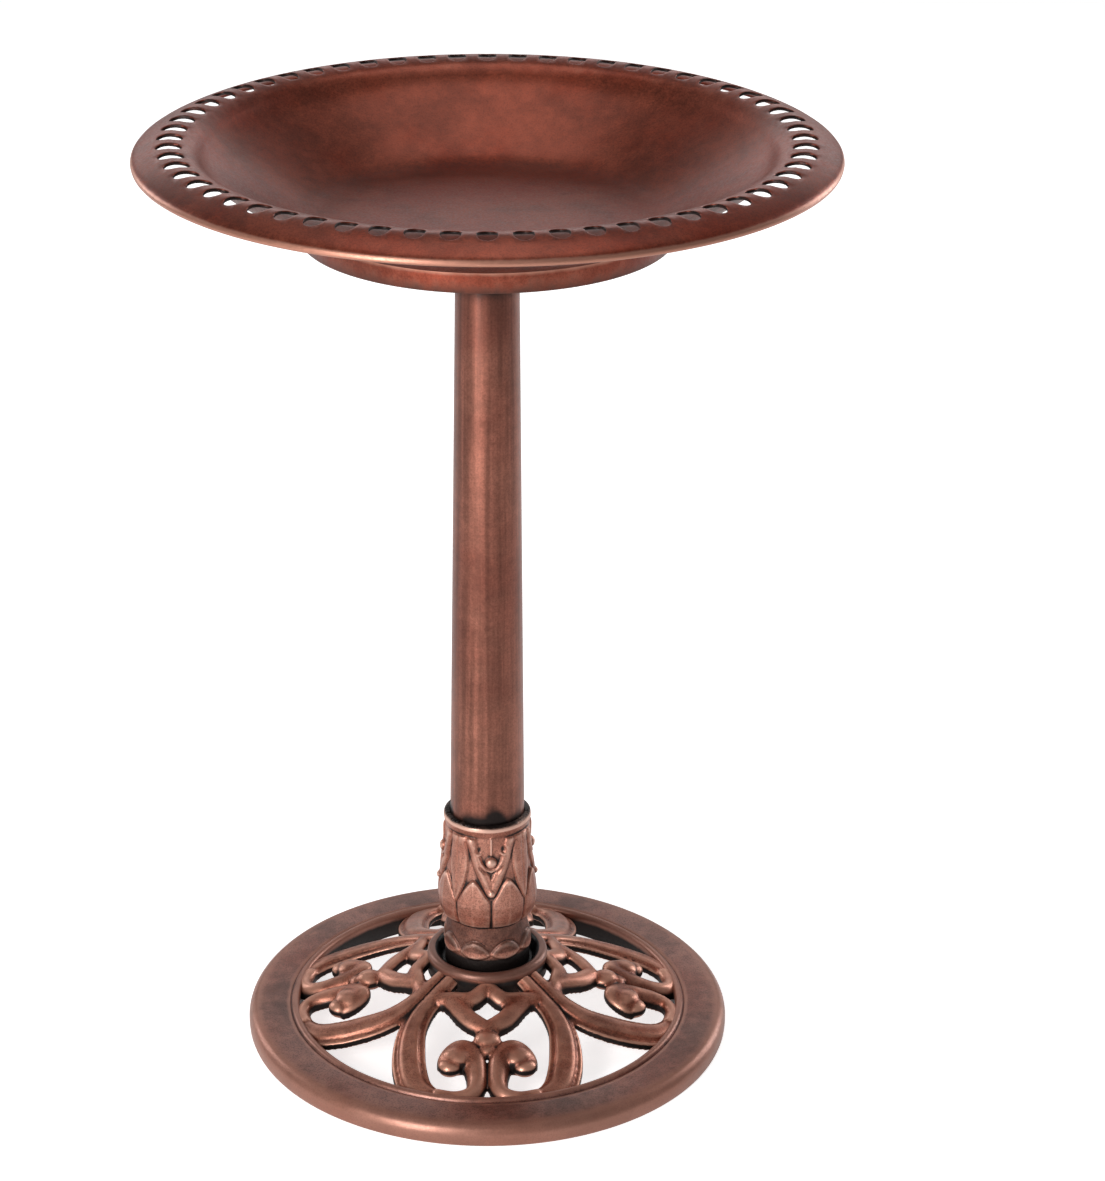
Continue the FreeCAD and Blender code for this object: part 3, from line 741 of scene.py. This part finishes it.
# Painted shade: dark where the column enters the collar, along a wavy line, and darker towards the bowl
# above.
entry_shade_top = collar_high + 7 + 5 * np.sin(column_angles * 3 + 1.2) + 3 * np.sin(column_angles * 8)
under_bowl_shade = np.clip((column_heights - 596) / 24, 0, 0.7)
under_bowl_shade += 0.34 * np.clip((column_heights - 460) / 130, 0, 1)
store(column, "wash_and_shade", np.clip((entry_shade_top - column_heights) / 14 + 0.5, 0, 1) + under_bowl_shade)
column_copper = copper_finish("column_copper", {
    "Copper": (0.27, 0.105, 0.072, 1),
    "Red copper": (0.19, 0.060, 0.040, 1),
    "Rub": 0.0,
    "Mottle size": 6.0,
    "Streaks": 0.9,
    "Dark clouds": 0.3,
    "Speckle": 0.2,
}, metallic=0.85, bump=0.12)
dress(column, column_copper)
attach(column, "stand")
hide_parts("column_tube")


# ---------------------------------------------------------------------------------------
# Bowl. A thin cast-resin shell: shallow floor, sloping side, and a rolled rim pierced by sixty
# round-ended slots, turned down at its edge. A standing ring and a socket boss are cast
# under the floor.
# ---------------------------------------------------------------------------------------
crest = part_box("bowl")[1].z / MM
slot_count = 60
slot_inner, slot_outer = 212.5, 231.5
slot_half_width = 6.5
slot_centre = (slot_inner + slot_outer) / 2
slot_half_length = (slot_outer - slot_inner) / 2
slot_straight = slot_half_length - slot_half_width
bowl_wall = 2.5

# Top surface of the bowl: (radius, drop below the crest) in mm, from the floor to the lip.
bowl_top = [(30.0, 57.5), (60.0, 57.5), (90.0, 57.5), (108.0, 57.5), (117.0, 57.3), (124.0, 56.6),
            (130.0, 55.2), (136.0, 52.6), (143.0, 48.9), (152.0, 43.4), (164.0, 36.0), (176.0, 28.6),
            (186.0, 22.4), (193.0, 17.6), (197.5, 13.6), (200.6, 9.8), (203.2, 6.6), (206.2, 4.0),
            (209.4, 2.4), (212.5, 1.5), (214.2, 1.15), (217.5, 0.5), (222.0, 0.0), (226.5, 0.4),
            (229.8, 1.2), (231.5, 1.7), (234.6, 2.8), (238.2, 4.2), (241.6, 5.7), (244.8, 7.3),
            (247.2, 8.9), (248.6, 10.6), (249.0, 12.2), (248.7, 13.5), (248.0, 14.5)]
floor_hole = bowl_top[0][0]
radii_to_lip, drops_to_lip = zip(*bowl_top[:-3])

# One slot's sector is a grid of columns across and rows outwards: the slot's two long edges run
# up columns 2 and 8, and columns 1 and 9 lie half way from them to the sector's sides.
slot_rows = [row for row, (radius, _) in enumerate(bowl_top) if slot_inner <= radius <= slot_outer]
row_steps = len(bowl_top) - 1
sector = math.tau / slot_count
column_steps = 10
slot_left, slot_middle, slot_right = 2, 5, 8


def slot_edge(across, outward):
    """The place on a round-ended slot's edge seen in a direction from its middle, in mm."""
    low, high = 0.0, 4.0
    for _ in range(40):
        share = (low + high) / 2
        x, y = across * share, outward * share
        inside = math.hypot(x, max(abs(y) - slot_straight, 0.0)) < slot_half_width
        low, high = (share, high) if inside else (low, share)
    return across * low, outward * low


def in_slot(place):
    """Whether a place on the bowl lies in or on the front slot's outline."""
    over_end = max(abs(-place.y / MM - slot_centre) - slot_straight, 0.0)
    return math.hypot(place.x / MM, over_end) / slot_half_width <= 1.001


bpy.ops.object.select_all(action="DESELECT")
bpy.ops.mesh.primitive_grid_add(x_subdivisions=column_steps, y_subdivisions=row_steps, size=2)
bowl = bpy.context.object
bowl.name = "bowl_cast"
bowl.data.name = "bowl_cast"
for vertex in bowl.data.vertices:
    column_number = round((vertex.co.x + 1) / 2 * column_steps)
    row_number = round((vertex.co.y + 1) / 2 * row_steps)
    radius, drop = bowl_top[row_number]
    height = crest - drop
    turn = (column_number / column_steps - 0.5) * sector
    if row_number in slot_rows and slot_left - 1 <= column_number <= slot_right + 1:
        slot_column = min(max(column_number, slot_left), slot_right) - slot_middle
        across = slot_column / (slot_right - slot_middle) * slot_half_width
        outward = (row_number - slot_rows[0]) / (len(slot_rows) - 1) * 2 - 1
        outward *= slot_half_length
        beside_slot = column_number in (slot_left - 1, slot_right + 1)
        on_side = column_number in (slot_left, slot_right)
        on_end = row_number in (slot_rows[0], slot_rows[-1])
        if beside_slot or on_side or on_end:
            across, outward = slot_edge(across, outward)
        if beside_slot:
            half = math.copysign(math.tan(sector / 2) * (slot_centre + outward), across)
            across = (across + half) / 2
        turn = math.atan2(across, slot_centre + outward)
        radius = math.hypot(across, slot_centre + outward)
    if row_number in slot_rows:
        height = crest - np.interp(radius, radii_to_lip, drops_to_lip)
    vertex.co = (radius * math.sin(turn) * MM, -radius * math.cos(turn) * MM, height * MM)
bpy.ops.object.mode_set(mode="EDIT")
bpy.ops.mesh.select_mode(type="FACE")
bpy.ops.mesh.select_all(action="DESELECT")
bpy.ops.object.mode_set(mode="OBJECT")
for face in bowl.data.polygons:
    face.select = all(in_slot(bowl.data.vertices[index].co) for index in face.vertices)
bpy.ops.object.mode_set(mode="EDIT")
bpy.ops.mesh.delete(type="FACE")
bpy.ops.mesh.select_all(action="SELECT")
bpy.ops.mesh.spin(steps=slot_count, dupli=True, angle=math.tau, center=(0, 0, 0), axis=(0, 0, 1))
bpy.ops.mesh.select_all(action="SELECT")
bpy.ops.mesh.remove_doubles(threshold=0.05 * MM)
bpy.ops.mesh.select_all(action="DESELECT")
bpy.ops.object.mode_set(mode="OBJECT")
bpy.context.tool_settings.mesh_select_mode = (False, True, False)
for edge in bowl.data.edges:
    places = [bowl.data.vertices[index].co for index in edge.vertices]
    edge.select = all(place.xy.length < floor_hole * MM + near for place in places)
bpy.ops.object.mode_set(mode="EDIT")
bpy.ops.mesh.extrude_edges_move()
bpy.ops.mesh.merge(type="CENTER")
bpy.ops.mesh.select_all(action="SELECT")
bpy.ops.mesh.normals_make_consistent(inside=False)
bpy.ops.object.mode_set(mode="OBJECT")
middle_face = min(bowl.data.polygons, key=lambda face: face.center.xy.length)
if middle_face.normal.z < 0:
    bowl.data.flip_normals()
shell = bowl.modifiers.new("wall", "SOLIDIFY")
shell.thickness = bowl_wall * MM
shell.offset = -1
shell.use_even_offset = True
apply_modifiers(bowl)
ease_edges(bowl, 0.8, segments=2)

# Standing ring and socket boss, as (radius, height above the floor) in mm.
foot_outline = [(134.5, 655.2), (134.0, 652.0), (133.6, 641.5), (133.0, 640.3), (131.8, 640.0),
                (130.6, 640.3), (130.0, 641.5), (130.0, 652.0), (129.5, 653.6), (134.5, 655.2)]
bowl_foot = turned("bowl_foot", foot_outline, 200)
boss_outline = [(31.0, 652.0), (30.08, 650.4), (30.08, 632.3), (29.4, 631.0), (28.3, 630.5), (21.9, 630.5),
                (21.1, 631.2), (21.1, 652.0), (31.0, 652.0)]
bowl_boss = turned("bowl_boss", boss_outline, 96)
bowl = join([bowl, bowl_foot, bowl_boss], "bowl_cast")
smooth_shade(bowl, 42)
note_relief(bowl, 6, 3.0)
bowl_relief = np.empty(len(bowl.data.vertices), np.float32)
bowl.data.attributes["relief"].data.foreach_get("value", bowl_relief)
bowl_places = places_of(bowl)
bowl_reach = np.hypot(bowl_places[:, 0], bowl_places[:, 1]) / MM
# Painted highlight: a pale band round the turned-down lip, laid on through the rub.
lip_highlight = (bowl_reach > 247.9) & (crest - bowl_places[:, 2] / MM > 9.5)
bowl_relief = np.where(bowl_relief < 0, 0.3, 0.7) * bowl_relief
store(bowl, "relief", bowl_relief + np.where(lip_highlight, 0.75, 0.0))
bowl_normals = normals_of(bowl)
# Painted shade: the bowl's underside is made darker by its downward facing and the slots' walls near black.
under = (bowl_normals[:, 2] < -0.2) & (bowl_reach < 236)
slot_wall_shade = (np.abs(bowl_normals[:, 2]) < 0.75) & (bowl_reach > 209) & (bowl_reach < 235)
store(bowl, "wash_and_shade", np.where(under, 0.52, 0.0) + np.where(slot_wall_shade, 0.75, 0.0))
bowl_copper = copper_finish("bowl_copper", {
    "Copper": (0.250, 0.056, 0.030, 1),
    "Red copper": (0.225, 0.034, 0.014, 1),
    "Mottle size": 9.0,
}, metallic=0.8)
dress(bowl, bowl_copper)
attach(bowl, "bowl")
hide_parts("bowl")


# ---------------------------------------------------------------------------------------
# Fittings. The column is closed by nylon plugs, the upper one with the screw that carries
# the bowl's nylon socket; a rubber washer seats the bowl, and a zinc-plated hexagon bolt
# with its washer holds the base to the column from below.
# ---------------------------------------------------------------------------------------
def plain_finish(name, colour, roughness, metallic=0.0, grain_size=900.0, bump=0.2):
    """A moulded or plated finish with a fine grain in its colour and gloss."""
    material = bpy.data.materials.new(name)
    material.use_nodes = True
    tree = material.node_tree
    shader = tree.nodes["Principled BSDF"]
    where = node(tree, "ShaderNodeTexCoord").outputs["Object"]
    grain = noise(tree, where, grain_size, 3.0)
    cloud = noise(tree, where, 60.0, 3.0)
    shade = tuple(min(1.0, part * 1.7 + 0.012) for part in colour)
    mixed = mix_colour(tree, ramp_between(tree, cloud, 0.3, 0.7), (*colour, 1), (*shade, 1))
    tree.links.new(mixed, shader.inputs["Base Color"])
    gloss = ramp_between(tree, grain, 0.3, 0.7, roughness - 0.07, roughness + 0.07)
    tree.links.new(gloss, shader.inputs["Roughness"])
    bumps = node(tree, "ShaderNodeBump", {"Height": grain, "Strength": bump, "Distance": 0.1 * MM})
    tree.links.new(bumps.outputs["Normal"], shader.inputs["Normal"])
    shader.inputs["Metallic"].default_value = metallic
    return material


fitting_finishes = {
    "screw_plastic": plain_finish("screw_plastic", (0.022, 0.021, 0.021), 0.42),
    "washer_rubber": plain_finish("washer_rubber", (0.012, 0.012, 0.012), 0.72, bump=0.35),
    "zinc_steel": plain_finish("zinc_steel", (0.52, 0.53, 0.55), 0.30, metallic=1.0, grain_size=1400.0),
}
for name in ("hub_washer", "hub_bolt", "lower_plug", "upper_plug", "seat_washer", "bowl_socket"):
    for slot in nodes[name].material_slots:
        for slot_name, finish in fitting_finishes.items():
            if slot_name in slot.material.name:
                slot.material = finish


# ---------------------------------------------------------------------------------------
# Studio: a wide pale floor, a large soft light high on the left with a strip below it,
# smaller ones behind on both sides, one overhead, a wide one at the back and an even sky.
# ---------------------------------------------------------------------------------------
scene = bpy.context.scene
scene.view_settings.view_transform = "Standard"
bpy.ops.mesh.primitive_plane_add(size=24, location=(0, 4, 0))
floor = bpy.context.object
floor.name = "studio_floor"
floor_paint = bpy.data.materials.new("floor_paint")
floor_paint.use_nodes = True
floor_tree = floor_paint.node_tree
floor_shader = floor_tree.nodes["Principled BSDF"]
floor_shader.inputs["Base Color"].default_value = (0.86, 0.86, 0.86, 1)
floor_shader.inputs["Roughness"].default_value = 0.9
floor_shader.inputs["Emission Color"].default_value = (1, 1, 1, 1)
seen = node(floor_tree, "ShaderNodeLightPath").outputs["Is Camera Ray"]
glow = ramp_between(floor_tree, seen, 0, 1, 0.30, 0.72)
floor_tree.links.new(glow, floor_shader.inputs["Emission Strength"])
from_below = node(floor_tree, "ShaderNodeNewGeometry").outputs["Backfacing"]
floor_tree.links.new(ramp_between(floor_tree, from_below, 0, 1, 1, 0), floor_shader.inputs["Alpha"])
dress(floor, floor_paint)

middle_of_bath = Vector((0, 0, 0.38))
# Lights: name, place in m, width and height in m, power in W, colour.
for name, place, width, height, power, colour in (
    ("key_light", (-1.7, -2.5, 1.9), 1.2, 1.2, 40, (1.0, 0.98, 0.96)),
    ("strip_light", (-1.05, -1.75, 0.55), 0.35, 1.3, 22, (1.0, 0.98, 0.96)),
    ("fill_light", (1.9, 1.4, 0.9), 0.7, 1.4, 17, (0.98, 0.99, 1.0)),
    ("edge_light", (-2.1, 1.6, 1.1), 0.8, 1.2, 12, (0.98, 0.99, 1.0)),
    ("top_light", (0.0, 0.3, 2.8), 1.6, 1.6, 12, (1.0, 1.0, 1.0)),
    ("back_light", (0.0, 2.9, 1.5), 3.4, 1.0, 13, (1.0, 0.98, 0.98)),
):
    lamp = bpy.data.lights.new(name, "AREA")
    lamp.shape = "RECTANGLE"
    lamp.size = width
    lamp.size_y = height
    lamp.energy = power
    lamp.color = colour
    light = bpy.data.objects.new(name, lamp)
    scene.collection.objects.link(light)
    light.location = place
    light.rotation_euler = (middle_of_bath - Vector(place)).to_track_quat("-Z", "Y").to_euler()

world = bpy.data.worlds.new("studio_sky")
world.use_nodes = True
world.node_tree.nodes["Background"].inputs["Color"].default_value = (1, 1, 1, 1)
world.node_tree.nodes["Background"].inputs["Strength"].default_value = 0.22
scene.world = world

look_down = 23.8
view = bpy.data.cameras.new("studio_camera")
view.lens = 101.38
view.sensor_width = 36
view.shift_x = 0.0552
camera = bpy.data.objects.new("studio_camera", view)
scene.collection.objects.link(camera)
camera.location = (0, -2.253, 1.358)
camera.rotation_euler = (math.radians(90 - look_down), 0, 0)
scene.camera = camera

bpy.context.view_layer.update()
